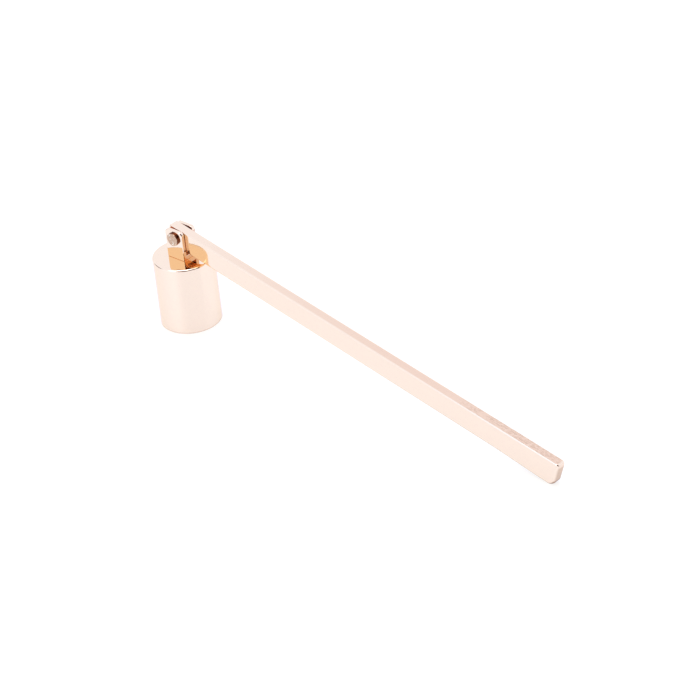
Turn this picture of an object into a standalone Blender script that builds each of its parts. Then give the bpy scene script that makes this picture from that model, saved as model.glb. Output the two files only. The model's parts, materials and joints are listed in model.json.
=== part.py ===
"""Candle snuffer: a bell with a clevis on its roof, and a long flat handle that swings on a rivet.

The object stands as it rests on a table, with the bell on its mouth and the handle's tip on the table.
+Z is up and +X runs from the bell to the tip. The origin is at the bottom centre of the whole object's box.
"""

import math

import bmesh
import bpy

MM = 0.001

# Bell: one turned cup, open at the bottom.
BELL_RADIUS = 12.5 * MM
BELL_HEIGHT = 29.5 * MM
BELL_WALL = 1.2 * MM
BELL_ROOF = 1.4 * MM
BELL_RIM_ROUND = 0.75 * MM
BELL_MOUTH_ROUND = 0.25 * MM
BELL_INNER_ROUND = 1.2 * MM
BELL_SEGMENTS = 72
BELL_MOUTH_STEPS = 2
BELL_RIM_STEPS = 4

# Clevis: a block on the bell's roof, slotted into two upright ears.
PIVOT_ABOVE_ROOF = 9.2 * MM
CLEVIS_WIDTH = 8.8 * MM
CLEVIS_DEPTH = 8.0 * MM
EAR_THICKNESS = 1.6 * MM
EAR_ABOVE_PIVOT = 3.55 * MM
EAR_CORNER = 1.6 * MM
CLEVIS_BASE = 1.7 * MM

# Handle: a flat bar with a straight top edge and a lower edge that drops towards the tip.
BAR_THICKNESS = 4.0 * MM
BAR_LENGTH = 195.7 * MM
BAR_HEEL = 4.6 * MM
BAR_TOP = 3.75 * MM
BAR_DEPTH = 5.0 * MM
BAR_TAPER = 0.0068
TIP_FLARE = 0.75 * MM
TIP_FLARE_LENGTH = 30.0 * MM
TIP_TOP_ROUND = 1.3 * MM
TIP_BOTTOM_ROUND = 3.3 * MM
TIP_SLANT_DEGREES = 8.5
HEEL_ROUND = 1.1 * MM
BAR_EDGE_ROUND = 0.35 * MM
BAR_EDGE_STEPS = 24
TIP_BOTTOM_STEPS = 8

# Rivet: its near end is upset to a flat button with a steep flank, its far end is a low dome.
RIVET_RADIUS = 1.5 * MM
RIVET_FACE_RADIUS = 2.58 * MM
RIVET_HEAD_RADIUS = 2.65 * MM
RIVET_HEAD_HEIGHT = 1.5 * MM
RIVET_DOME_RADIUS = 3.2 * MM
RIVET_DOME_HEIGHT = 1.2 * MM
RIVET_DOME_STEPS = 5
RIVET_SEGMENTS = 36

# Screw and split washer that hold the clevis, inside the bell.
SCREW_RADIUS = 1.3 * MM
SCREW_HEAD_RADIUS = 2.8 * MM
SCREW_HEAD_HEIGHT = 1.9 * MM
SCREW_HEAD_ROUND = 0.7 * MM
RECESS_LENGTH = 3.2 * MM
RECESS_WIDTH = 0.8 * MM
RECESS_DEPTH = 1.0 * MM
WASHER_INNER = 1.7 * MM
WASHER_OUTER = 2.7 * MM
WASHER_THICKNESS = 0.7 * MM
WASHER_SLIT_DEGREES = 16

# Clearances.
REST_GAP = 0.3 * MM
BORE_GAP = 0.2 * MM

ROSE_GOLD = (0.95, 0.64, 0.45, 1.0)
ROSE_GOLD_ROUGHNESS = 0.08
BARE_STEEL = (0.52, 0.47, 0.43, 1.0)
BARE_STEEL_ROUGHNESS = 0.45

# How finely arcs are divided, what counts as an edge, and how the resting slope is sought.
ARC_STEPS = 4
SMOOTH_ANGLE = math.radians(30)
BEVEL_ANGLE = math.radians(60)
BEVEL_SEGMENTS = 2
STEEPEST_SLOPE = math.radians(30)
SLOPE_HALVINGS = 50


def clear_scene():
    for obj in list(bpy.data.objects):
        bpy.data.objects.remove(obj, do_unlink=True)


def metal(name, colour, roughness):
    material = bpy.data.materials.new(name)
    material.use_nodes = True
    shader = material.node_tree.nodes["Principled BSDF"]
    shader.inputs["Base Color"].default_value = colour
    shader.inputs["Metallic"].default_value = 1.0
    shader.inputs["Roughness"].default_value = roughness
    return material


def arc(centre, radius, start, end, steps=ARC_STEPS):
    """Points on an arc from start to end, in degrees, both ends included."""
    points = []
    for i in range(steps + 1):
        angle = math.radians(start + (end - start) * i / steps)
        points.append((centre[0] + radius * math.cos(angle), centre[1] + radius * math.sin(angle)))
    return points


def lathed(profile, segments):
    """A closed body turned about Z from (radius, height) points. Points on the axis become poles."""
    bm = bmesh.new()
    rings = []
    for radius, height in profile:
        if radius == 0.0:
            rings.append([bm.verts.new((0.0, 0.0, height))])
            continue
        ring = []
        for i in range(segments):
            angle = math.tau * i / segments
            ring.append(bm.verts.new((radius * math.cos(angle), radius * math.sin(angle), height)))
        rings.append(ring)
    pairs = list(zip(rings, rings[1:]))
    if len(rings[0]) > 1:
        pairs.append((rings[-1], rings[0]))
    for low, high in pairs:
        for i in range(segments):
            j = (i + 1) % segments
            corners = [low[i % len(low)], low[j % len(low)], high[j % len(high)], high[i % len(high)]]
            bm.faces.new(list(dict.fromkeys(corners)))
    return bm


def plate(outline, thickness):
    """A flat piece: an (x, z) outline extruded along Y, centred on y = 0."""
    bm = bmesh.new()
    face = bm.faces.new([bm.verts.new((x, -thickness / 2, z)) for x, z in outline])
    swept = bmesh.ops.extrude_face_region(bm, geom=[face])["geom"]
    far_side = [v for v in swept if isinstance(v, bmesh.types.BMVert)]
    bmesh.ops.translate(bm, vec=(0.0, thickness, 0.0), verts=far_side)
    return bm


def add_object(name, bm, material=None, location=(0.0, 0.0, 0.0), rotation=(0.0, 0.0, 0.0)):
    bmesh.ops.recalc_face_normals(bm, faces=bm.faces)
    mesh = bpy.data.meshes.new(name)
    bm.to_mesh(mesh)
    bm.free()
    mesh.shade_smooth()
    mesh.set_sharp_from_angle(angle=SMOOTH_ANGLE)
    obj = bpy.data.objects.new(name, mesh)
    obj.location = location
    obj.rotation_euler = rotation
    if material:
        mesh.materials.append(material)
    bpy.context.scene.collection.objects.link(obj)
    return obj


def cut(target, cutter):
    """Subtracts the cutter, which stays in the file as a hidden helper."""
    cutter.hide_render = True
    cutter.display_type = "WIRE"
    modifier = target.modifiers.new(cutter.name, "BOOLEAN")
    modifier.operation = "DIFFERENCE"
    modifier.solver = "EXACT"
    modifier.object = cutter


def cylinder_cutter(name, radius, length, location, along_y=False):
    turn = (math.pi / 2, 0.0, 0.0) if along_y else (0.0, 0.0, 0.0)
    profile = [(0.0, -length / 2), (radius, -length / 2), (radius, length / 2), (0.0, length / 2)]
    return add_object(name, lathed(profile, RIVET_SEGMENTS), location=location, rotation=turn)


def smooth_step(t):
    t = min(max(t, 0.0), 1.0)
    return t * t * (3.0 - 2.0 * t)


def bar_depth(s):
    """Distance from the pivot line down to the bar's lower edge, s along the bar."""
    flare_start = BAR_LENGTH - TIP_BOTTOM_ROUND - TIP_FLARE_LENGTH
    return BAR_DEPTH + BAR_TAPER * s + TIP_FLARE * smooth_step((s - flare_start) / TIP_FLARE_LENGTH)


def tip_centres():
    """Centres of the tip's lower and upper roundings. The end face between them leans back at its foot."""
    lean = math.radians(TIP_SLANT_DEGREES)
    upper = (BAR_LENGTH - TIP_TOP_ROUND, BAR_TOP - TIP_TOP_ROUND)
    height = TIP_BOTTOM_ROUND - bar_depth(BAR_LENGTH - TIP_BOTTOM_ROUND)
    setback = (upper[1] - height) * math.sin(lean) + TIP_BOTTOM_ROUND - TIP_TOP_ROUND
    return (upper[0] - setback / math.cos(lean), height), upper


def bar_outline():
    """The bar's side view, (along, up) from the pivot: heel, lower edge, tip, top edge."""
    lower, upper = tip_centres()
    points = arc((HEEL_ROUND - BAR_HEEL, HEEL_ROUND - BAR_DEPTH), HEEL_ROUND, 180, 270)
    for i in range(1, BAR_EDGE_STEPS):
        s = lower[0] * i / BAR_EDGE_STEPS
        points.append((s, -bar_depth(s)))
    points += arc(lower, TIP_BOTTOM_ROUND, 270, 360 - TIP_SLANT_DEGREES, TIP_BOTTOM_STEPS)
    points += arc(upper, TIP_TOP_ROUND, -TIP_SLANT_DEGREES, 90)
    points += arc((HEEL_ROUND - BAR_HEEL, BAR_TOP - HEEL_ROUND), HEEL_ROUND, 90, 180)
    return points


def turned(point, slope):
    """A side-view point after the bar is turned down by slope about the pivot."""
    along, up = point
    return (
        along * math.cos(slope) + up * math.sin(slope),
        up * math.cos(slope) - along * math.sin(slope),
    )


def resting_slope(outline, pivot_height):
    """The downward slope at which the bar's lowest point just touches the table, found by halving."""
    low, high = 0.0, STEEPEST_SLOPE
    for _ in range(SLOPE_HALVINGS):
        slope = (low + high) / 2
        lowest = min(turned(point, slope)[1] for point in outline)
        if pivot_height + lowest > 0.0:
            low = slope
        else:
            high = slope
    return low


def make_bell(x, material):
    inner = BELL_RADIUS - BELL_WALL
    under_roof = BELL_HEIGHT - BELL_ROOF
    screw_hole = SCREW_RADIUS + REST_GAP
    profile = [(inner, BELL_MOUTH_ROUND), (inner + BELL_MOUTH_ROUND, 0.0)]
    mouth_centre = (BELL_RADIUS - BELL_MOUTH_ROUND, BELL_MOUTH_ROUND)
    profile += arc(mouth_centre, BELL_MOUTH_ROUND, -90, 0, BELL_MOUTH_STEPS)
    rim_centre = (BELL_RADIUS - BELL_RIM_ROUND, BELL_HEIGHT - BELL_RIM_ROUND)
    profile += arc(rim_centre, BELL_RIM_ROUND, 0, 90, BELL_RIM_STEPS)
    profile += [(screw_hole, BELL_HEIGHT), (screw_hole, under_roof)]
    profile += arc((inner - BELL_INNER_ROUND, under_roof - BELL_INNER_ROUND), BELL_INNER_ROUND, 90, 0)
    return add_object("bell_cup", lathed(profile, BELL_SEGMENTS), material, (x, 0.0, 0.0))


def make_clevis(x, pivot_height, material):
    half = CLEVIS_WIDTH / 2
    foot = BELL_HEIGHT + REST_GAP
    top = pivot_height + EAR_ABOVE_PIVOT
    outline = [(-half, foot), (half, foot)]
    outline += arc((half - EAR_CORNER, top - EAR_CORNER), EAR_CORNER, 0, 90)
    outline += arc((EAR_CORNER - half, top - EAR_CORNER), EAR_CORNER, 90, 180)
    clevis = add_object("clevis", plate(outline, CLEVIS_DEPTH), material, (x, 0.0, 0.0))

    floor = foot + CLEVIS_BASE
    wide, high = CLEVIS_WIDTH, 2 * top
    opening = [(-wide, floor), (wide, floor), (wide, high), (-wide, high)]
    between_ears = plate(opening, CLEVIS_DEPTH - 2 * EAR_THICKNESS)
    slot = add_object("slot_cutter", between_ears, location=(x, 0.0, 0.0))
    pivot = (x, 0.0, pivot_height)
    pivot_hole = cylinder_cutter("ear_hole_cutter", RIVET_RADIUS + BORE_GAP, 2 * CLEVIS_DEPTH, pivot, True)
    centre = (x, 0.0, foot)
    screw_hole = cylinder_cutter("base_hole_cutter", SCREW_RADIUS + BORE_GAP, 4 * CLEVIS_BASE, centre)
    for cutter in (slot, pivot_hole, screw_hole):
        cut(clevis, cutter)
    return clevis


def make_rivet(x, pivot_height, material):
    """Turned about the pivot axis. The near head, at -Y, is the flat one."""
    seat = CLEVIS_DEPTH / 2 + REST_GAP
    near = CLEVIS_DEPTH / 2 + RIVET_HEAD_HEIGHT
    sphere_radius = (RIVET_DOME_RADIUS**2 + RIVET_DOME_HEIGHT**2) / (2 * RIVET_DOME_HEIGHT)
    sphere_centre = seat + RIVET_DOME_HEIGHT - sphere_radius
    dome_edge = math.degrees(math.asin(RIVET_DOME_RADIUS / sphere_radius))
    profile = [(0.0, -near), (RIVET_FACE_RADIUS, -near), (RIVET_HEAD_RADIUS, -seat)]
    profile += [(RIVET_RADIUS, -seat), (RIVET_RADIUS, seat)]
    profile += arc((0.0, sphere_centre), sphere_radius, 90 - dome_edge, 90, RIVET_DOME_STEPS)[:-1]
    profile.append((0.0, sphere_centre + sphere_radius))
    turn = (-math.pi / 2, 0.0, 0.0)
    return add_object("pivot_rivet", lathed(profile, RIVET_SEGMENTS), material, (x, 0.0, pivot_height), turn)


def make_handle(x, pivot_height, outline, slope, material):
    pivot = (x, 0.0, pivot_height)
    handle = add_object("handle_bar", plate(outline, BAR_THICKNESS), material, pivot, (0.0, slope, 0.0))
    rounding = handle.modifiers.new("edge_rounding", "BEVEL")
    rounding.width = BAR_EDGE_ROUND
    rounding.segments = BEVEL_SEGMENTS
    rounding.limit_method = "ANGLE"
    rounding.angle_limit = BEVEL_ANGLE
    cut(handle, cylinder_cutter("bar_bore_cutter", RIVET_RADIUS + BORE_GAP, 2 * BAR_THICKNESS, pivot, True))
    return handle


def make_screw(x, material):
    """A pan-head screw that comes up through the roof from inside the bell."""
    seat = BELL_HEIGHT - BELL_ROOF - WASHER_THICKNESS - 2 * REST_GAP
    bottom = seat - SCREW_HEAD_HEIGHT
    end = BELL_HEIGHT + CLEVIS_BASE
    corner = (SCREW_HEAD_RADIUS - SCREW_HEAD_ROUND, bottom + SCREW_HEAD_ROUND)
    profile = [(0.0, bottom)]
    profile += arc(corner, SCREW_HEAD_ROUND, -90, 0)
    profile += [(SCREW_HEAD_RADIUS, seat), (SCREW_RADIUS, seat), (SCREW_RADIUS, end), (0.0, end)]
    screw = add_object("clevis_screw", lathed(profile, RIVET_SEGMENTS), material, (x, 0.0, 0.0))

    half_long, half_wide = RECESS_LENGTH / 2, RECESS_WIDTH / 2
    arm = [(half_long, -half_wide), (half_long, half_wide), (half_wide, half_wide)]
    cross = []
    for quarter in range(4):
        for u, v in arm:
            turns = [(u, v), (-v, u), (-u, -v), (v, -u)]
            cross.append(turns[quarter])
    upright = (math.pi / 2, 0.0, 0.0)
    cut(screw, add_object("recess_cutter", plate(cross, 2 * RECESS_DEPTH), None, (x, 0.0, bottom), upright))
    return screw


def make_washer(x, material):
    """A split ring between the screw's head and the underside of the roof."""
    top = BELL_HEIGHT - BELL_ROOF - REST_GAP
    start = WASHER_SLIT_DEGREES / 2
    outer = arc((0.0, 0.0), WASHER_OUTER, start, 360 - start, RIVET_SEGMENTS)
    inner = arc((0.0, 0.0), WASHER_INNER, 360 - start, start, RIVET_SEGMENTS)
    centre = (x, 0.0, top - WASHER_THICKNESS / 2)
    turn = (math.pi / 2, 0.0, 0.0)
    return add_object("lock_washer", plate(outer + inner, WASHER_THICKNESS), material, centre, turn)


def build():
    clear_scene()
    rose_gold = metal("polished_rose_gold", ROSE_GOLD, ROSE_GOLD_ROUGHNESS)
    steel = metal("bare_steel", BARE_STEEL, BARE_STEEL_ROUGHNESS)

    pivot_height = BELL_HEIGHT + PIVOT_ABOVE_ROOF
    outline = bar_outline()
    slope = resting_slope(outline, pivot_height)
    reach = max(turned(point, slope)[0] for point in outline)
    bell_x = (BELL_RADIUS - reach) / 2

    make_bell(bell_x, rose_gold)
    make_clevis(bell_x, pivot_height, rose_gold)
    make_rivet(bell_x, pivot_height, steel)
    make_handle(bell_x, pivot_height, outline, slope, rose_gold)
    make_screw(bell_x, steel)
    make_washer(bell_x, steel)


build()
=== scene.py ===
"""A polished rose gold candle snuffer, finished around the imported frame.

The frame gives each part's place and size. This script rebuilds every part as a fine surface with rounded
edges, gives the metals their finishes, and sets a plain white studio round the object.
"""

import json
import math

import bmesh
import bpy
from mathutils import Matrix, Vector, noise


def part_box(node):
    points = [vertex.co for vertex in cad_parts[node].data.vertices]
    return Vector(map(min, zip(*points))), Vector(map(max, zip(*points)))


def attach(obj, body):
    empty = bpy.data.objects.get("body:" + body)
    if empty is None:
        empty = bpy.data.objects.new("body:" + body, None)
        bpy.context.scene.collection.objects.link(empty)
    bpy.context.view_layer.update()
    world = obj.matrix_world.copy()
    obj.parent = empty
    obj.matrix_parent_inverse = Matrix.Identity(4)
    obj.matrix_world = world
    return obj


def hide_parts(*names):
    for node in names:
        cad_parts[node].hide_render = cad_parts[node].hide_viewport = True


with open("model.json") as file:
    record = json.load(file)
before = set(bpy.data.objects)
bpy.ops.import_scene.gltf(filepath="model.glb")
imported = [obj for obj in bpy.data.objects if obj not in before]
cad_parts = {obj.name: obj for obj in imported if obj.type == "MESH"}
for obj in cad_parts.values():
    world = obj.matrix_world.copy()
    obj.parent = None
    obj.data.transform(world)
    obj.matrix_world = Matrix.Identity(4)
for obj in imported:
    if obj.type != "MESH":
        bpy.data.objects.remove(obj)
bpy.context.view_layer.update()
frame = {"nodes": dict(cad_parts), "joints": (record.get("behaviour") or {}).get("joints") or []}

MM = 0.001

# Edges that turn by more than the first angle are rounded, and by more than the second are shaded as creases.
ROUNDED_ANGLE = math.radians(50)
CREASE_ANGLE = math.radians(42)

# Bell, in mm: wall, roof and the roundings of its edges.
BELL_WALL = 1.2
BELL_ROOF = 1.4
RIM_ROUND = 0.75
MOUTH_ROUND = 0.25
MOUTH_INNER_CUT = 0.08
INNER_ROUND = 1.2
ROOF_HOLE_GAP = 0.3
# Round the bell's foot, up to the first height and fading out by the second: painted shade where the mouth
# meets the table.
FOOT_SHADE_TO = 0.3
FOOT_SHADE_CLEAR_FROM = 0.7
BELL_SEGMENTS = 288
BELL_RING_STEP = 1.6

# Clevis, in mm: two ears on a base, softest at the near ear's outer corner, and turned a little on the bell.
EAR_THICKNESS = 1.6
EAR_CORNER = 1.6
CLEVIS_BASE = 1.7
CLEVIS_LIFT = 0.03
CLEVIS_EDGE_ROUND = 0.2
EAR_CORNER_EDGE_ROUND = 0.95
CLEVIS_TURN = math.radians(3.0)
PIVOT_HOLE_RADIUS = 1.7
BASE_HOLE_GAP = 0.2
HOLE_SEGMENTS = 64
# Above the pivot, from the first height to the second: painted shade darkening the slot's walls.
SLOT_SHADE_START = 1.4
SLOT_SHADE_FULL = 2.4

# Handle, in mm: its lower edge drops along its length and flares at the tip.
BAR_DEPTH = 5.0
BAR_TAPER = 0.0068
TIP_FLARE = 0.75
TIP_FLARE_LENGTH = 30.0
TIP_TOP_ROUND = 1.3
TIP_BOTTOM_ROUND = 3.3
TIP_SLANT_DEGREES = 8.5
HEEL_ROUND = 1.1
BAR_EDGE_ROUND = 0.42
TIP_PLAN_ROUND = 1.1

# The bar's surface, in mm: slow polishing waves and dents, and the stretches over which the pits, the upper
# fillet's painted highlight and the lower edge's painted shade set in.
WAVE_HEIGHT = 0.006
DENT_DEPTH = 0.05
PITS_FROM = 144.0
PITS_OVER = 12.0
HIGHLIGHT_FROM = 110.0
HIGHLIGHT_OVER = 75.0
UNDER_SHADE_FROM = 60.0
UNDER_SHADE_OVER = 100.0

# How finely the bar is divided: along its edges, down its sides, across its edges and round their fillets.
BAR_STATIONS = 380
BAR_ROWS = 12
STEPS_ACROSS = 10
FILLET_STEPS = 8

# Rivet, in mm: a hammered button at its near end, a low dome at its far end.
SHANK_RADIUS = 1.5
FACE_RADIUS = 2.7
FACE_LIP = 0.14
BUTTON_RADIUS = 2.75
BUTTON_HEIGHT = 1.05
BUTTON_FOOT = 0.25
RIVET_SUNK = 0.02
DOME_RADIUS = 3.2
HAMMERED_FROM = 4.5
HAMMERED_OVER = 0.8
DIMPLE_DEPTH = 0.09
RIVET_SEGMENTS = 128
RIVET_RING_STEP = 0.16

# Screw, in mm.
SCREW_RADIUS = 1.3
SCREW_POINT = 0.25
THREAD_START = 0.3
THREAD_PITCH = 0.5
THREAD_DEPTH = 0.2
SCREW_HEAD_RADIUS = 2.8
SCREW_HEAD_HEIGHT = 1.9
SCREW_HEAD_ROUND = 0.7
SCREW_HEAD_CHAMFER = 0.1
RECESS_LENGTH = 3.2
RECESS_WIDTH = 0.8
RECESS_DEPTH = 1.0
SCREW_SEGMENTS = 96
THREAD_RING_STEP = 0.06

# Split washer, in mm.
WASHER_INNER = 1.7
WASHER_OUTER = 2.7
WASHER_THICKNESS = 0.7
WASHER_CORNER = 0.12
WASHER_RISE = 0.12
WASHER_SLIT_DEGREES = 16
WASHER_STEPS = 120

# Metals.
ROSE_GOLD = (0.95, 0.663, 0.377)
WORN_ROSE_GOLD = (0.91, 0.58, 0.36)
EDGE_TINT = (0.965, 0.85, 0.70)
RAW_ROSE_GOLD = (0.66, 0.36, 0.17)
# Painted shade deep in the clevis slot, above the pivot.
SLOT_SHADE_ROSE_GOLD = (0.55, 0.17, 0.08)
# Scuffed plating on the bar's worn patches, and also painted shade on the bar's end face and round the bell's
# foot.
SCUFF_AND_SHADE_ROSE_GOLD = (0.72, 0.44, 0.235)
# Painted shade along the bar's lower edge.
UNDERSIDE_SHADE_ROSE_GOLD = (0.42, 0.22, 0.105)
# Painted highlight along the bar's upper fillet.
FILLET_HIGHLIGHT_ROSE_GOLD = (0.98, 0.75, 0.47)
RUBBED_ROSE_GOLD = (0.98, 0.72, 0.42)
RIVET_FACE = (0.67, 0.41, 0.205)
RIVET_GRIME = (0.38, 0.20, 0.09)
# Painted highlights: the bright flecks on the rivet's face.
RIVET_HIGHLIGHT_FLECK = (0.9, 0.72, 0.44)
# Painted shade: the near-black of the button's flank.
RIVET_FLANK_SHADE = (0.17, 0.045, 0.015)
STEEL = (0.56, 0.44, 0.27)

# Studio: over-bright cool white all round, so that the warm metal reads as pale as it does in strong light.
# The camera itself sees the milder SHOWN colours, which keep the background and the table plain white.
STUDIO_WHITE = (1.03, 1.275, 2.04)
STUDIO_DIM = (0.945, 1.045, 1.60)
SOFTBOX = (2.5, 2.9, 4.4)
TOP_LAMP = (5.0, 5.8, 8.3)
CAMERA_DARK = (0.09, 0.025, 0.012)
SHOWN_WHITE = (1.05, 1.05, 1.05)
SHOWN_TABLE = (0.19, 0.153, 0.094)
SHOWN_GLOW = (1.232, 1.224, 1.215)

# Table: a white disc that glows a little, so that it stays white; its radius is in mm.
TABLE_GREY = (0.27, 0.27, 0.27)
TABLE_PALE_GREY = (0.29, 0.29, 0.29)
TABLE_ROUGHNESS = 0.45
TABLE_GLOW_STRENGTH = 0.68
TABLE_RADIUS = 4000.0

# Patches of the studio: where the middle is, and the angles in degrees from there between which it fades out.
DIM_PATCH = ((-0.3, 0.62, 0.74), 4.5, 11)
FRONT_SOFTBOX = ((0.15, -0.72, 0.68), 10, 31)
TOP_LAMP_PATCH = ((0.05, -0.1, 0.99), 9, 17)
CAMERA_CARD_FADE = (26, 32)
SIDE_CARD = ((0.9, -0.1, 0.42), 14, 22)
LOW_CARD = ((-0.8, -0.5, 0.1), 12, 26)
LOW_CARD_DARKNESS = 0.8

# Camera: where it looks, from where, and its lens.
CAMERA_AIM = Vector((-1.02, 0.0, 18.8)) * MM
CAMERA_AZIMUTH = 46.32
CAMERA_ELEVATION = 33.04
CAMERA_ROLL = -5.74
CAMERA_DISTANCE = 1141.7 * MM
CAMERA_LENS = 154.87
CAMERA_CLIP = (0.01, 100.0)


# ---------------------------------------------------------------- places taken from the frame, in mm


def node_box(node):
    """A CAD node's lowest and highest corners."""
    low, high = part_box(node)
    return low / MM, high / MM


def bar_slope():
    """The bar's downward slope at rest, from the largest upward face of its CAD solid."""
    faces = frame["nodes"]["handle_bar"].data.polygons
    top = max((f for f in faces if f.normal.z > 0.9), key=lambda f: f.area)
    return math.atan2(top.normal.x, top.normal.z)


def in_bar(point):
    """A point of the frame, in mm, as (along, up) from the pivot in the bar's own directions."""
    x, z = point.x - PIVOT.x, point.z - PIVOT.z
    return x * math.cos(SLOPE) - z * math.sin(SLOPE), x * math.sin(SLOPE) + z * math.cos(SLOPE)


BELL_LOW, BELL_HIGH = node_box("bell_cup")
AXIS_X = (BELL_LOW.x + BELL_HIGH.x) / 2
BELL_RADIUS = (BELL_HIGH.x - BELL_LOW.x) / 2
ROOF = BELL_HIGH.z
UNDER_ROOF = ROOF - BELL_ROOF

CLEVIS_LOW, CLEVIS_HIGH = node_box("clevis")
CLEVIS_TOP = CLEVIS_HIGH.z
CLEVIS_HALF_WIDTH = (CLEVIS_HIGH.x - CLEVIS_LOW.x) / 2
CLEVIS_DEPTH = CLEVIS_HIGH.y - CLEVIS_LOW.y

RIVET_END = node_box("pivot_rivet")[1].y
SCREW_END = node_box("clevis_screw")[1].z

PIVOT = Vector(frame["joints"][0]["pos_m"]) / MM
SLOPE = bar_slope()
BAR_LOW, BAR_HIGH = node_box("handle_bar")
BAR_THICKNESS = BAR_HIGH.y - BAR_LOW.y
BAR_POINTS = [in_bar(v.co / MM) for v in frame["nodes"]["handle_bar"].data.vertices]
BAR_LENGTH = max(along for along, up in BAR_POINTS)
BAR_HEEL = -min(along for along, up in BAR_POINTS)
BAR_TOP = max(up for along, up in BAR_POINTS)


# ---------------------------------------------------------------- mesh helpers (all lengths in mm)


def arc(centre, radius, start, end, steps=8):
    """Points on an arc from start to end, in degrees, both ends included."""
    points = []
    for i in range(steps + 1):
        angle = math.radians(start + (end - start) * i / steps)
        points.append((centre[0] + radius * math.cos(angle), centre[1] + radius * math.sin(angle)))
    return points


def dense(points, step):
    """The same line of points with its long straight runs divided."""
    result = [points[0]]
    for a, b in zip(points, points[1:]):
        pieces = max(1, round(math.dist(a, b) / step))
        for i in range(1, pieces + 1):
            t = i / pieces
            result.append((a[0] + (b[0] - a[0]) * t, a[1] + (b[1] - a[1]) * t))
    return result


def lathed(profile, segments, shape=None):
    """A body turned about Z from (radius, height) points. Points on the axis become poles.
    shape(vector) may move each vertex a little."""
    bm = bmesh.new()
    rings = []
    for radius, height in profile:
        count = segments if radius > 0.0 else 1
        ring = []
        for i in range(count):
            angle = math.tau * i / count
            point = Vector((radius * math.cos(angle), radius * math.sin(angle), height))
            ring.append(bm.verts.new(shape(point) if shape else point))
        rings.append(ring)
    pairs = list(zip(rings, rings[1:]))
    if len(rings[0]) > 1:
        pairs.append((rings[-1], rings[0]))
    for low, high in pairs:
        for i in range(segments):
            j = (i + 1) % segments
            corners = [low[i % len(low)], low[j % len(low)], high[j % len(high)], high[i % len(high)]]
            bm.faces.new(list(dict.fromkeys(corners)))
    return bm


def skinned(rings):
    """A body skinned over rings of equal length, closed by a flat face at both ends."""
    bm = bmesh.new()
    loops = [[bm.verts.new(point) for point in ring] for ring in rings]
    count = len(loops[0])
    for low, high in zip(loops, loops[1:]):
        for i in range(count):
            j = (i + 1) % count
            bm.faces.new([low[i], low[j], high[j], high[i]])
    bm.faces.new(loops[0])
    bm.faces.new(loops[-1])
    return bm


def plate(outline, low, high):
    """An (x, z) outline extruded along Y from low to high."""
    bm = bmesh.new()
    face = bm.faces.new([bm.verts.new((x, low, z)) for x, z in outline])
    swept = bmesh.ops.extrude_face_region(bm, geom=[face])["geom"]
    moved = [v for v in swept if isinstance(v, bmesh.types.BMVert)]
    bmesh.ops.translate(bm, vec=(0.0, high - low, 0.0), verts=moved)
    return bm


def mesh_object(name, bm, place):
    """A smooth-shaded object from a mesh in mm, put where place says."""
    bmesh.ops.recalc_face_normals(bm, faces=bm.faces)
    bm.transform(Matrix.Scale(MM, 4))
    mesh = bpy.data.meshes.new(name)
    bm.to_mesh(mesh)
    bm.free()
    mesh.shade_smooth()
    obj = bpy.data.objects.new(name, mesh)
    obj.matrix_world = place
    bpy.context.scene.collection.objects.link(obj)
    return obj


def at(x, y, z, turn=0.0, axis="Y"):
    """A place in mm, turned about an axis by an angle in radians."""
    return Matrix.Translation(Vector((x, y, z)) * MM) @ Matrix.Rotation(turn, 4, axis)


def cut(target, name, bm, place):
    """Subtracts a helper body and deletes it."""
    cutter = mesh_object(name, bm, place)
    modifier = target.modifiers.new(name, "BOOLEAN")
    modifier.object = cutter
    apply_modifiers(target)
    bpy.data.objects.remove(cutter, do_unlink=True)


def round_edges(obj, width_at, segments):
    """Rounds the sharp edges, each by width_at(middle of the edge in mm), in mm."""
    bm = bmesh.new()
    bm.from_mesh(obj.data)
    weights = bm.edges.layers.float.new("bevel_weight_edge")
    widest = 0.0
    for edge in bm.edges:
        if edge.calc_face_angle(0.0) > ROUNDED_ANGLE:
            edge[weights] = width_at((edge.verts[0].co + edge.verts[1].co) / (2 * MM))
            widest = max(widest, edge[weights])
    for edge in bm.edges:
        edge[weights] /= widest
    bm.to_mesh(obj.data)
    bm.free()
    bevel = obj.modifiers.new("rounding", "BEVEL")
    bevel.width = widest * MM
    bevel.segments = segments
    bevel.limit_method = "WEIGHT"
    apply_modifiers(obj)


def apply_modifiers(obj):
    """Replaces the object's mesh with its evaluated one."""
    graph = bpy.context.evaluated_depsgraph_get()
    mesh = bpy.data.meshes.new_from_object(obj.evaluated_get(graph))
    obj.modifiers.clear()
    obj.data = mesh


def finish_piece(obj, materials, body, node, which=None):
    """Gives a piece its normals, finishes and body, and hides the CAD node that it stands for.
    which(centre in mm) picks a face's finish where there is more than one."""
    obj.data.materials.clear()
    for material in materials:
        obj.data.materials.append(material)
    if which:
        for face in obj.data.polygons:
            face.material_index = which(face.center / MM)
    obj.data.shade_smooth()
    obj.data.set_sharp_from_angle(angle=CREASE_ANGLE)
    weighted = obj.modifiers.new("flat_face_normals", "WEIGHTED_NORMAL")
    weighted.keep_sharp = True
    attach(obj, body)
    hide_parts(node)


# ---------------------------------------------------------------- materials


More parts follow.
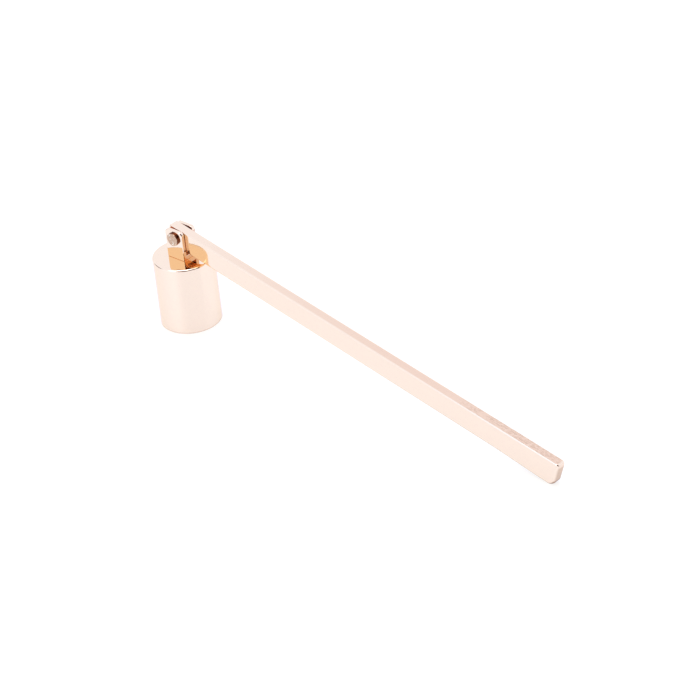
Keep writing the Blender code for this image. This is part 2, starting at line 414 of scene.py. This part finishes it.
class Graph:
    """Builds the nodes of one material or world."""

    def __init__(self, owner):
        owner.use_nodes = True
        self.tree = owner.node_tree

    def add(self, kind, inputs=None, output=0, **settings):
        """One output of a new node. Inputs go by name or number, and settings are the node's own options."""
        node = self.tree.nodes.new("ShaderNode" + kind)
        for key, value in settings.items():
            setattr(node, key, value)
        for key, value in (inputs or {}).items():
            self.feed(node.inputs[key], value)
        return node.outputs[output]

    def feed(self, socket, value):
        """Links a node's output to a socket, or sets a colour or number there."""
        if isinstance(value, bpy.types.NodeSocket):
            self.tree.links.new(value, socket)
        elif isinstance(value, tuple) and len(value) == 3 and socket.type == "RGBA":
            socket.default_value = (*value, 1.0)
        else:
            socket.default_value = value

    def math(self, operation, a, b):
        return self.add("Math", {0: a, 1: b}, operation=operation)

    def product(self, value, *factors):
        for factor in factors:
            value = self.math("MULTIPLY", value, factor)
        return value

    def ramp(self, value, low, high, to_low=0.0, to_high=1.0):
        """A smooth step from to_low, where the value is low, to to_high, where it is high."""
        inputs = {"Value": value, "From Min": low, "From Max": high, "To Min": to_low, "To Max": to_high}
        return self.add("MapRange", inputs, interpolation_type="SMOOTHSTEP")

    def mix(self, factor, a, b):
        return self.add("MixRGB", {0: factor, 1: a, 2: b})

    def place(self, scale=(1.0, 1.0, 1.0), turn=(0.0, 0.0, 0.0)):
        """Object coordinates in mm, turned and then stretched."""
        here = self.add("TexCoord", output="Object")
        turned = self.add("Mapping", {"Vector": here, "Rotation": turn})
        stretch = tuple(s / MM for s in scale)
        return self.add("Mapping", {"Vector": turned, "Scale": stretch})

    def part(self, vector, axis):
        return self.add("SeparateXYZ", {0: vector}, output=axis)

    def coordinate(self, axis):
        """One object coordinate, in metres."""
        return self.part(self.add("TexCoord", output="Object"), axis)

    def spot(self, direction, centre, inside, outside, strength=1.0):
        """strength within the inside angle of a centre direction, 0 beyond the outside angle, in degrees."""
        unit = tuple(Vector(centre).normalized())
        cosine = self.add("VectorMath", {0: direction, 1: unit}, output="Value", operation="DOT_PRODUCT")
        near, far = math.cos(math.radians(inside)), math.cos(math.radians(outside))
        return self.ramp(cosine, far, near, 0.0, strength)

    def noise(self, place, scale=1.0, detail=2.0, roughness=0.5):
        inputs = {"Vector": place, "Scale": scale, "Detail": detail, "Roughness": roughness}
        return self.add("TexNoise", inputs)

    def bump(self, height, distance, normal=None):
        """Height 0 to 1 becomes a relief of distance mm."""
        inputs = {"Height": height, "Distance": distance * MM, "Strength": 1.0}
        if normal:
            inputs["Normal"] = normal
        return self.add("Bump", inputs)


def shaded(name):
    """A new material, its graph and its surface shader."""
    material = bpy.data.materials.new(name)
    graph = Graph(material)
    return material, graph, graph.tree.nodes["Principled BSDF"]


def make_metal(graph, shader, colour, roughness, normal):
    """Turns a surface shader into bare metal."""
    graph.feed(shader.inputs["Base Color"], colour)
    graph.feed(shader.inputs["Metallic"], 1.0)
    graph.feed(shader.inputs["Roughness"], roughness)
    graph.feed(shader.inputs["Normal"], normal)


def hairlines(graph, turn, thinness, sparsity):
    """Sparse, fine, straight polishing scratches along one direction: 1 on a scratch."""
    place = graph.place(scale=(0.05, thinness, thinness), turn=turn)
    lines = graph.noise(place, detail=1.0)
    return graph.ramp(lines, sparsity, sparsity + 0.05)


def polished_rose_gold(name, wear_and_painted_light=None):
    """Mirror-polished plating. The optional function may change its colour, roughness and relief, with marks
    of use and with painted light and shade.
    """
    material, graph, shader = shaded(name)
    broad = graph.noise(graph.place(), 0.09, 2.0)
    cloudy = graph.noise(graph.place(), 0.6, 4.0, 0.6)
    along = hairlines(graph, turn=(0.0, 0.0, 0.0), thinness=9.0, sparsity=0.66)
    across = hairlines(graph, turn=(0.3, 0.5, 0.9), thinness=7.0, sparsity=0.70)
    lines = graph.math("MAXIMUM", along, across)

    colour = graph.mix(graph.ramp(cloudy, 0.35, 0.75, 0.0, 0.12), ROSE_GOLD, WORN_ROSE_GOLD)
    roughness = graph.ramp(broad, 0.3, 0.7, 0.03, 0.06)
    roughness = graph.math("ADD", roughness, graph.product(lines, 0.10))
    normal = graph.bump(broad, 0.012)
    normal = graph.bump(lines, 0.0006, normal)
    if wear_and_painted_light:
        colour, roughness, normal = wear_and_painted_light(graph, colour, roughness, normal)
    make_metal(graph, shader, colour, roughness, normal)
    graph.feed(shader.inputs["Specular Tint"], EDGE_TINT)
    return material


def bar_wear_and_painted_light(graph, colour, roughness, normal):
    """Pits and rubbed patches on the bar's top near its tip, and painted light: a painted highlight along the
    fillet beside them, and painted shade on the end face and along the lower edge."""
    along = graph.coordinate("X")
    facing = graph.add("TexCoord", output="Normal")
    upward, endward = graph.part(facing, "Z"), graph.part(facing, "X")

    def onset(start, over):
        """0 up to a distance along the bar, rising to 1 over the next stretch."""
        return graph.ramp(along, start * MM, (start + over) * MM)

    on_top = graph.ramp(upward, 0.8, 0.97)
    patches = graph.ramp(graph.noise(graph.place(), 0.1, 3.0, 0.6), 0.36, 0.5)
    worn = graph.product(onset(PITS_FROM, PITS_OVER), on_top, patches)
    grain = graph.noise(graph.place(scale=(0.8, 1.3, 1.0)), 0.8, 4.0, 0.6)
    pitted = graph.product(worn, graph.ramp(grain, 0.48, 0.6))
    rubbed = graph.product(worn, graph.ramp(grain, 0.38, 0.45, 1.0, 0.0))
    colour = graph.mix(graph.product(worn, 0.2), colour, SCUFF_AND_SHADE_ROSE_GOLD)
    colour = graph.mix(graph.product(pitted, 0.6), colour, SCUFF_AND_SHADE_ROSE_GOLD)
    colour = graph.mix(graph.product(rubbed, 0.6), colour, RUBBED_ROSE_GOLD)
    # Painted shade: the end face is darkened, standing in for the shaded floor that it reflects.
    colour = graph.mix(graph.ramp(endward, 0.5, 0.9, 0.0, 0.35), colour, SCUFF_AND_SHADE_ROSE_GOLD)

    # Painted highlight: the upper fillet is lightened towards the tip, stopping short of the end face.
    on_fillet = graph.product(graph.ramp(upward, 0.15, 0.4), graph.ramp(upward, 0.88, 0.98, 1.0, 0.0))
    not_at_end = graph.ramp(endward, 0.15, 0.45, 1.0, 0.0)
    bright = graph.product(on_fillet, onset(HIGHLIGHT_FROM, HIGHLIGHT_OVER), not_at_end)
    colour = graph.mix(bright, colour, FILLET_HIGHLIGHT_ROSE_GOLD)
    # Painted shade: the lower edge is darkened from partway along the bar.
    underneath = graph.ramp(upward, -0.3, -0.02, 1.0, 0.0)
    under_shade = graph.product(underneath, onset(UNDER_SHADE_FROM, UNDER_SHADE_OVER))
    colour = graph.mix(under_shade, colour, UNDERSIDE_SHADE_ROSE_GOLD)

    roughness = graph.math("ADD", roughness, graph.product(pitted, 0.2))
    normal = graph.bump(graph.product(grain, worn), 0.035, normal)
    return colour, roughness, normal


def foot_painted_shade(graph, colour, roughness, normal):
    """Painted shade: the colour is darkened round the bell's foot, where its mouth meets the table."""
    near_foot = graph.ramp(graph.coordinate("Z"), FOOT_SHADE_TO * MM, FOOT_SHADE_CLEAR_FROM * MM, 0.6, 0.0)
    return graph.mix(near_foot, colour, SCUFF_AND_SHADE_ROSE_GOLD), roughness, normal


def raw_rose_gold():
    """The walls of the slot: plated as sawn, never polished, and darkened above the pivot by painted shade.
    """
    material, graph, shader = shaded("raw_rose_gold")
    saw = graph.noise(graph.place(scale=(0.3, 1.0, 4.0)), 1.0, 3.0, 0.6)
    height = graph.coordinate("Z")
    # Painted shade: the walls darken above the pivot.
    slot_shade = graph.ramp(height, (PIVOT.z + SLOT_SHADE_START) * MM, (PIVOT.z + SLOT_SHADE_FULL) * MM)
    clean = graph.mix(saw, RAW_ROSE_GOLD, WORN_ROSE_GOLD)
    colour = graph.mix(slot_shade, clean, SLOT_SHADE_ROSE_GOLD)
    roughness = graph.math("ADD", graph.ramp(saw, 0.3, 0.7, 0.12, 0.26), graph.product(slot_shade, 0.2))
    make_metal(graph, shader, colour, roughness, graph.bump(saw, 0.004))
    return material


def satin_rose_gold():
    """The inside of the bell: plated but left with its turning marks."""
    material, graph, shader = shaded("satin_rose_gold")
    rings = graph.noise(graph.place(scale=(0.02, 0.02, 6.0)), 1.0, 3.0)
    cloudy = graph.noise(graph.place(), 0.3, 3.0)
    colour = graph.mix(cloudy, ROSE_GOLD, WORN_ROSE_GOLD)
    make_metal(graph, shader, colour, graph.ramp(rings, 0.3, 0.7, 0.2, 0.34), graph.bump(rings, 0.006))
    return material


def rivet_metal():
    """The cut and hammered face: coarse mottled metal with bright flecks, which are painted highlights."""
    material, graph, shader = shaded("rivet_face")
    blotches = graph.noise(graph.place(scale=(1.0, 2.2, 1.0), turn=(0.0, 0.0, 0.6)), 1.1, 4.0, 0.6)
    grain = graph.noise(graph.place(), 5.0, 3.0, 0.7)
    # Painted highlights: bright flecks on the face.
    flecks = graph.ramp(graph.noise(graph.place(), 1.3, 2.0), 0.6, 0.66)
    colour = graph.mix(graph.ramp(blotches, 0.4, 0.75, 0.0, 0.5), RIVET_FACE, RIVET_GRIME)
    colour = graph.mix(flecks, colour, RIVET_HIGHLIGHT_FLECK)
    relief = graph.math("ADD", blotches, graph.product(grain, 0.35))
    make_metal(graph, shader, colour, graph.ramp(grain, 0.3, 0.7, 0.34, 0.55), graph.bump(relief, 0.06))
    return material


def flank_painted_shade():
    """The button's flank and the shank: near-black painted shade, never polished or plated."""
    material, graph, shader = shaded("flank_painted_shade")
    grain = graph.noise(graph.place(), 3.0, 4.0, 0.6)
    colour = graph.mix(graph.ramp(grain, 0.5, 0.8, 0.0, 0.5), RIVET_FLANK_SHADE, RIVET_GRIME)
    make_metal(graph, shader, colour, graph.ramp(grain, 0.3, 0.7, 0.22, 0.4), graph.bump(grain, 0.02))
    return material


def bare_steel():
    """The screw and its washer: turned steel, a little dirty."""
    material, graph, shader = shaded("bare_steel_turned")
    grain = graph.noise(graph.place(scale=(1.0, 1.0, 8.0)), 1.0, 4.0, 0.6)
    colour = graph.mix(graph.ramp(grain, 0.4, 0.8, 0.0, 0.5), STEEL, RIVET_GRIME)
    make_metal(graph, shader, colour, graph.ramp(grain, 0.3, 0.7, 0.22, 0.38), graph.bump(grain, 0.008))
    return material


# ---------------------------------------------------------------- bell


def make_bell(outside, inside):
    """An open cup, turned as one piece, with a hole for the screw in its roof."""
    inner = BELL_RADIUS - BELL_WALL
    hole = SCREW_RADIUS + ROOF_HOLE_GAP
    profile = [(inner, MOUTH_ROUND), (inner + MOUTH_INNER_CUT, MOUTH_INNER_CUT), (inner + MOUTH_ROUND, 0.0)]
    profile += arc((BELL_RADIUS - MOUTH_ROUND, MOUTH_ROUND), MOUTH_ROUND, -90, 0, 6)
    profile += arc((BELL_RADIUS - RIM_ROUND, ROOF - RIM_ROUND), RIM_ROUND, 0, 90, 12)
    profile += [(hole, ROOF), (hole, UNDER_ROOF)]
    profile += arc((inner - INNER_ROUND, UNDER_ROOF - INNER_ROUND), INNER_ROUND, 90, 0, 10)
    profile.append(profile[0])
    rings = dense(profile, BELL_RING_STEP)[:-1]
    bell = mesh_object("bell_body", lathed(rings, BELL_SEGMENTS), at(AXIS_X, 0, 0))

    def which(centre):
        return 1 if math.hypot(centre.x, centre.y) < inner + 0.02 and centre.z < ROOF - 0.1 else 0

    finish_piece(bell, [outside, inside], "bell", "bell_cup", which)


# ---------------------------------------------------------------- clevis


def rod(radius, half_length):
    """A straight cutter for a hole, along Z."""
    profile = [(0.0, -half_length), (radius, -half_length), (radius, half_length), (0.0, half_length)]
    return lathed(profile, HOLE_SEGMENTS)


def make_clevis(plated, raw):
    """A block on the roof, slotted to leave two ears, and bored for the rivet and the screw."""
    half, top = CLEVIS_HALF_WIDTH, CLEVIS_TOP
    foot = ROOF + CLEVIS_LIFT
    here = at(AXIS_X, 0, 0, CLEVIS_TURN, "Z")
    outline = [(-half, foot), (half, foot)]
    outline += arc((half - EAR_CORNER, top - EAR_CORNER), EAR_CORNER, 0, 90, 16)
    outline += arc((EAR_CORNER - half, top - EAR_CORNER), EAR_CORNER, 90, 180, 16)
    block = plate(outline, -CLEVIS_DEPTH / 2, CLEVIS_DEPTH / 2)
    clevis = mesh_object("clevis_body", block, here)

    floor = CLEVIS_LOW.z + CLEVIS_BASE
    inner = CLEVIS_DEPTH / 2 - EAR_THICKNESS
    slot = [(-2 * half, floor), (2 * half, floor), (2 * half, 2 * top), (-2 * half, 2 * top)]
    cut(clevis, "slot_cutter", plate(slot, -inner, inner), here)

    def edge_round(middle):
        """Softest round the near ear's outer corner, where a thumb rubs it."""
        across, up = middle.x - half + EAR_CORNER, middle.z - top + EAR_CORNER
        if across < 0.0 or up < 0.0 or middle.y > -inner - EAR_THICKNESS / 2:
            return CLEVIS_EDGE_ROUND
        on_corner = 2 * across * up / (across**2 + up**2)
        return CLEVIS_EDGE_ROUND + (EAR_CORNER_EDGE_ROUND - CLEVIS_EDGE_ROUND) * on_corner

    round_edges(clevis, edge_round, 4)
    bore = rod(PIVOT_HOLE_RADIUS, CLEVIS_DEPTH)
    cut(clevis, "ear_hole_cutter", bore, here @ at(0, 0, PIVOT.z, math.pi / 2, "X"))
    hole = rod(SCREW_RADIUS + BASE_HOLE_GAP, CLEVIS_DEPTH)
    cut(clevis, "base_hole_cutter", hole, at(AXIS_X, 0, foot))

    def which(centre):
        return 1 if abs(centre.y) < inner + 0.05 and centre.z > floor - 0.05 else 0

    finish_piece(clevis, [plated, raw], "bell", "clevis", which)


# ---------------------------------------------------------------- handle


def smooth_step(t):
    """0 up to t = 0, 1 from t = 1, and a smooth rise between."""
    t = min(max(t, 0.0), 1.0)
    return t * t * (3.0 - 2.0 * t)


def bar_depth(s):
    """Distance from the pivot line down to the bar's lower edge, s along the bar."""
    flare_start = BAR_LENGTH - TIP_BOTTOM_ROUND - TIP_FLARE_LENGTH
    return BAR_DEPTH + BAR_TAPER * s + TIP_FLARE * smooth_step((s - flare_start) / TIP_FLARE_LENGTH)


def tip_centres():
    """Centres of the tip's lower and upper roundings. The end face between them leans back at its foot."""
    lean = math.radians(TIP_SLANT_DEGREES)
    upper = (BAR_LENGTH - TIP_TOP_ROUND, BAR_TOP - TIP_TOP_ROUND)
    height = TIP_BOTTOM_ROUND - bar_depth(BAR_LENGTH - TIP_BOTTOM_ROUND)
    setback = (upper[1] - height) * math.sin(lean) + TIP_BOTTOM_ROUND - TIP_TOP_ROUND
    return (upper[0] - setback / math.cos(lean), height), upper


def bar_edges():
    """Matching points along the bar's lower and upper edges, from heel to tip."""
    lower, upper = tip_centres()
    last, high_end = lower[0], upper[0]
    first = HEEL_ROUND - BAR_HEEL
    low = arc((first, HEEL_ROUND - BAR_DEPTH), HEEL_ROUND, 180, 270, 8)
    high = arc((first, BAR_TOP - HEEL_ROUND), HEEL_ROUND, 180, 90, 8)
    for i in range(1, BAR_STATIONS):
        t = i / BAR_STATIONS
        s = first + (last - first) * t
        low.append((s, -bar_depth(max(s, 0.0))))
        high.append((first + (high_end - first) * t, BAR_TOP))
    low += arc(lower, TIP_BOTTOM_ROUND, 270, 360 - TIP_SLANT_DEGREES, 16)
    high += arc(upper, TIP_TOP_ROUND, 90, -TIP_SLANT_DEGREES, 16)
    return low, high


def between(a, b, steps):
    """Points from a to b, both ends left out."""
    across, up = b[0] - a[0], b[1] - a[1]
    return [(a[0] + across * i / steps, a[1] + up * i / steps) for i in range(1, steps)]


def outward(points, i):
    """The outward normal of a counter-clockwise outline at point i."""
    (x0, z0), (x1, z1) = points[i - 1], points[(i + 1) % len(points)]
    length = math.hypot(x1 - x0, z1 - z0)
    return (z1 - z0) / length, (x0 - x1) / length


def bar_relief(x, y, z):
    """How far the surface stands proud: slow polishing waves, and shallow dents on top near the tip."""
    wave = noise.noise(Vector((x / 9.0, y / 5.0, z / 5.0)))
    worn = smooth_step((x - PITS_FROM) / PITS_OVER) * smooth_step((z - BAR_TOP + 0.12) / 0.1)
    dent = max(noise.noise(Vector((x / 1.6, y / 1.1, 7.0))) - 0.15, 0.0)
    return WAVE_HEIGHT * wave - DENT_DEPTH * worn * dent


def bar_section(edge_round):
    """One edge of the bar, from side to side with a fillet at each, as (distance out, y) points."""
    side = BAR_THICKNESS / 2
    section = []
    for i in range(FILLET_STEPS + 1):
        angle = math.radians(90 * i / FILLET_STEPS)
        out = edge_round * (math.sin(angle) - 1.0)
        section.append((out, -side + edge_round * (1.0 - math.cos(angle))))
    flat = side - edge_round
    section += [(0.0, flat * (2 * i / STEPS_ACROSS - 1)) for i in range(1, STEPS_ACROSS)]
    section += [(out, -y) for out, y in reversed(section[: FILLET_STEPS + 1])]
    return section


def fill_side(bm, border, columns):
    """Closes one side of the bar with a grid from its lower border to its upper one."""
    grid = []
    for k in range(columns):
        low, high = border[k], border[2 * columns + BAR_ROWS - 2 - k]
        if k == 0:
            inner = border[2 * columns + BAR_ROWS - 1 :][::-1]
        elif k == columns - 1:
            inner = border[columns : columns + BAR_ROWS - 1]
        else:
            inner = [bm.verts.new(low.co.lerp(high.co, i / BAR_ROWS)) for i in range(1, BAR_ROWS)]
        grid.append([low, *inner, high])
    for a, b in zip(grid, grid[1:]):
        for i in range(BAR_ROWS):
            bm.faces.new([a[i], b[i], b[i + 1], a[i + 1]])


def bar_mesh():
    """The bar: a strip all round its outline, with filleted edges, and a grid on each side."""
    low, high = bar_edges()
    outline = low + between(low[-1], high[-1], BAR_ROWS) + high[::-1] + between(high[0], low[0], BAR_ROWS)
    bm = bmesh.new()
    strip = []
    for i, (x, z) in enumerate(outline):
        nx, nz = outward(outline, i)
        edge_round = BAR_EDGE_ROUND + (TIP_PLAN_ROUND - BAR_EDGE_ROUND) * max(nx, 0.0)
        line = []
        for out, y in bar_section(edge_round):
            lift = bar_relief(x, y, z) if out > -0.8 * edge_round else 0.0
            line.append(bm.verts.new((x + nx * (out + lift), y, z + nz * (out + lift))))
        strip.append(line)
    for a, b in zip(strip, strip[1:] + strip[:1]):
        for j in range(len(a) - 1):
            bm.faces.new([a[j], b[j], b[j + 1], a[j + 1]])
    for edge in (0, -1):
        fill_side(bm, [line[edge] for line in strip], len(low))
    return bm


def make_handle(material):
    """The bar, bored for the rivet and laid at its slope."""
    handle = mesh_object("handle_body", bar_mesh(), at(PIVOT.x, 0, PIVOT.z, SLOPE))
    bore = rod(PIVOT_HOLE_RADIUS, 2 * BAR_THICKNESS)
    cut(handle, "bore_cutter", bore, at(PIVOT.x, 0, PIVOT.z, math.pi / 2, "X"))
    finish_piece(handle, [material], "handle", "handle_bar")


# ---------------------------------------------------------------- rivet


def hammered(point):
    """The near end of the rivet is beaten: not quite round, and its face is uneven."""
    beaten = smooth_step((-point.z - HAMMERED_FROM) / HAMMERED_OVER)
    angle = math.atan2(point.y, point.x)
    ring = noise.noise(Vector((1.3 * math.cos(angle), 1.3 * math.sin(angle), 2.0)))
    grow = 1.0 + 0.07 * beaten * ring
    dimples = noise.noise(Vector((point.x * 1.1, point.y * 1.1, 0.0)))
    dimples += 0.5 * noise.noise(Vector((point.x * 2.7, point.y * 2.7, 5.0)))
    return Vector((point.x * grow, point.y * grow, point.z + DIMPLE_DEPTH * beaten * dimples))


def far_dome(seat):
    """The far head's arc, from its edge on the ear to the axis."""
    height = RIVET_END - seat
    radius = (DOME_RADIUS**2 + height**2) / (2 * height)
    edge = math.degrees(math.asin(DOME_RADIUS / radius))
    return arc((0.0, RIVET_END - radius), radius, 90 - edge, 90, 14)[:-1] + [(0.0, RIVET_END)]


def make_rivet(face_metal, flank_shade_metal, plate_metal):
    """A shank with a hammered button on the near ear and a low plated dome on the far one."""
    seat = CLEVIS_DEPTH / 2
    crown = seat + BUTTON_HEIGHT
    profile = [(0.0, -crown)] + arc((FACE_RADIUS - FACE_LIP, -crown + FACE_LIP), FACE_LIP, -90, -10, 5)
    profile += [(BUTTON_RADIUS, -seat - BUTTON_FOOT), (BUTTON_RADIUS, -seat + RIVET_SUNK)]
    profile += [(SHANK_RADIUS, -seat + RIVET_SUNK), (SHANK_RADIUS, seat - RIVET_SUNK)]
    profile += far_dome(seat)
    turned = lathed(dense(profile, RIVET_RING_STEP), RIVET_SEGMENTS, hammered)
    here = at(PIVOT.x, 0, PIVOT.z, CLEVIS_TURN, "Z") @ Matrix.Rotation(-math.pi / 2, 4, "X")
    rivet = mesh_object("rivet_body", turned, here)

    def which(centre):
        if centre.z > seat:
            return 2
        on_face = math.hypot(centre.x, centre.y) < FACE_RADIUS - 0.02 and centre.z < -crown + 0.3
        return 0 if on_face else 1

    finish_piece(rivet, [face_metal, flank_shade_metal, plate_metal], "bell", "pivot_rivet", which)


# ---------------------------------------------------------------- screw and washer


def make_screw(material):
    """A pan-head screw with a cross recess, drawn up tight against the split washer."""
    seat = UNDER_ROOF - WASHER_THICKNESS
    bottom = seat - SCREW_HEAD_HEIGHT

    def threaded(point):
        """Sinks a helical groove into the shank."""
        radius = math.hypot(point.x, point.y)
        if abs(radius - SCREW_RADIUS) > 0.05 or point.z < seat + THREAD_START:
            return point
        turn = point.z / THREAD_PITCH - math.atan2(point.y, point.x) / math.tau
        groove = abs((turn % 1.0) * 2.0 - 1.0)
        shrink = 1.0 - groove * THREAD_DEPTH / radius
        return Vector((point.x, point.y, 0.0)) * shrink + Vector((0.0, 0.0, point.z))

    head_centre = (SCREW_HEAD_RADIUS - SCREW_HEAD_ROUND, bottom + SCREW_HEAD_ROUND)
    profile = [(0.0, bottom)] + arc(head_centre, SCREW_HEAD_ROUND, -90, 0, 8)
    profile.append((SCREW_HEAD_RADIUS, seat - SCREW_HEAD_CHAMFER))
    profile.append((SCREW_HEAD_RADIUS - SCREW_HEAD_CHAMFER, seat))
    shank = [(SCREW_RADIUS, seat), (SCREW_RADIUS, SCREW_END - SCREW_POINT)]
    profile += dense(shank, THREAD_RING_STEP)
    profile += [(SCREW_RADIUS - SCREW_POINT, SCREW_END), (0.0, SCREW_END)]
    screw = mesh_object("screw_body", lathed(profile, SCREW_SEGMENTS, threaded), at(AXIS_X, 0, 0))

    long, wide = RECESS_LENGTH / 2, RECESS_WIDTH / 2
    cross = []
    for quarter in range(4):
        for u, v in ((long, -wide), (long, wide), (wide, wide)):
            cross.append([(u, v), (-v, u), (-u, -v), (v, -u)][quarter])
    recess = plate(cross, -RECESS_DEPTH, RECESS_DEPTH)
    cut(screw, "recess_cutter", recess, at(AXIS_X, 0, bottom, math.pi / 2, "X"))
    finish_piece(screw, [material], "bell", "clevis_screw")


def make_washer(material):
    """A spring ring of square section, cut through and sprung a little open."""
    mean, half_wide = (WASHER_OUTER + WASHER_INNER) / 2, (WASHER_OUTER - WASHER_INNER) / 2
    half_high = (WASHER_THICKNESS - WASHER_RISE) / 2
    section = []
    for sx, sz, start in ((1, 1, 0), (-1, 1, 90), (-1, -1, 180), (1, -1, 270)):
        centre = (sx * (half_wide - WASHER_CORNER), sz * (half_high - WASHER_CORNER))
        section += arc(centre, WASHER_CORNER, start, start + 90, 4)
    rings = []
    for i in range(WASHER_STEPS + 1):
        t = i / WASHER_STEPS
        angle = math.radians(WASHER_SLIT_DEGREES / 2 + t * (360 - WASHER_SLIT_DEGREES))
        rise = WASHER_RISE * (t - 0.5)
        ring = []
        for out, up in section:
            radius = mean + out
            ring.append((radius * math.cos(angle), radius * math.sin(angle), up + rise))
        rings.append(ring)
    washer = mesh_object("washer_body", skinned(rings), at(AXIS_X, 0, UNDER_ROOF - WASHER_THICKNESS / 2))
    finish_piece(washer, [material], "bell", "lock_washer")


# ---------------------------------------------------------------- studio


def make_floor():
    """A plain white table, unseen from below."""
    bm = bmesh.new()
    bmesh.ops.create_circle(bm, cap_ends=True, segments=96, radius=TABLE_RADIUS)
    floor = mesh_object("floor", bm, Matrix.Identity(4))
    if floor.data.polygons[0].normal.z < 0.0:
        floor.data.flip_normals()
    material, graph, shader = shaded("white_table")
    grain = graph.noise(graph.place(), 0.05, 2.0)
    shown = graph.add("LightPath", output="Is Camera Ray")
    white = graph.mix(grain, TABLE_GREY, TABLE_PALE_GREY)
    graph.feed(shader.inputs["Base Color"], graph.mix(shown, white, SHOWN_TABLE))
    graph.feed(shader.inputs["Roughness"], TABLE_ROUGHNESS)
    graph.feed(shader.inputs["Emission Color"], graph.mix(shown, STUDIO_WHITE, SHOWN_GLOW))
    graph.feed(shader.inputs["Emission Strength"], TABLE_GLOW_STRENGTH)
    behind = graph.add("NewGeometry", output="Backfacing")
    clear = graph.add("BsdfTransparent")
    both = graph.add("MixShader", {0: behind, 1: shader.outputs[0], 2: clear})
    graph.feed(graph.tree.nodes["Material Output"].inputs["Surface"], both)
    floor.data.materials.append(material)


def make_light():
    """Soft white from everywhere. A softbox stands in front and a lamp overhead, a patch high at the back is
    dimmer, and dark cards hang round the camera, on the right and low on the left."""
    world = bpy.data.worlds.new("studio")
    bpy.context.scene.world = world
    graph = Graph(world)
    here = graph.add("TexCoord", output="Generated")
    colour = graph.mix(graph.spot(here, *DIM_PATCH), STUDIO_WHITE, STUDIO_DIM)
    colour = graph.mix(graph.spot(here, *FRONT_SOFTBOX), colour, SOFTBOX)
    colour = graph.mix(graph.spot(here, *TOP_LAMP_PATCH), colour, TOP_LAMP)
    camera_card = graph.spot(here, camera_direction(), *CAMERA_CARD_FADE)
    cards = graph.math("MAXIMUM", camera_card, graph.spot(here, *SIDE_CARD))
    cards = graph.math("MAXIMUM", cards, graph.spot(here, *LOW_CARD, LOW_CARD_DARKNESS))
    colour = graph.mix(cards, colour, CAMERA_DARK)
    shown = graph.add("LightPath", output="Is Camera Ray")
    background = graph.tree.nodes["Background"]
    graph.feed(background.inputs["Color"], graph.mix(shown, colour, SHOWN_WHITE))
    graph.feed(background.inputs["Strength"], 1.0)


def camera_direction():
    """From the object to the camera."""
    a, e = math.radians(CAMERA_AZIMUTH), math.radians(CAMERA_ELEVATION)
    return Vector((math.sin(a) * math.cos(e), -math.cos(a) * math.cos(e), math.sin(e)))


def make_camera():
    data = bpy.data.cameras.new("camera")
    data.lens = CAMERA_LENS
    data.clip_start, data.clip_end = CAMERA_CLIP
    camera = bpy.data.objects.new("camera", data)
    back = camera_direction()
    turn = (-back).to_track_quat("-Z", "Y").to_matrix().to_4x4()
    roll = Matrix.Rotation(math.radians(CAMERA_ROLL), 4, "Z")
    camera.matrix_world = Matrix.Translation(CAMERA_AIM + back * CAMERA_DISTANCE) @ turn @ roll
    bpy.context.scene.collection.objects.link(camera)
    bpy.context.scene.camera = camera


def main():
    plate_metal = polished_rose_gold("polished_rose_gold")
    steel = bare_steel()
    make_bell(polished_rose_gold("polished_rose_gold_bell", foot_painted_shade), satin_rose_gold())
    make_clevis(plate_metal, raw_rose_gold())
    make_handle(polished_rose_gold("polished_rose_gold_bar", bar_wear_and_painted_light))
    make_rivet(rivet_metal(), flank_painted_shade(), plate_metal)
    make_screw(steel)
    make_washer(steel)

    make_floor()
    make_light()
    make_camera()
    scene = bpy.context.scene
    scene.view_settings.view_transform = "Standard"
    scene.cycles.max_bounces = 16
    scene.cycles.glossy_bounces = 12


main()
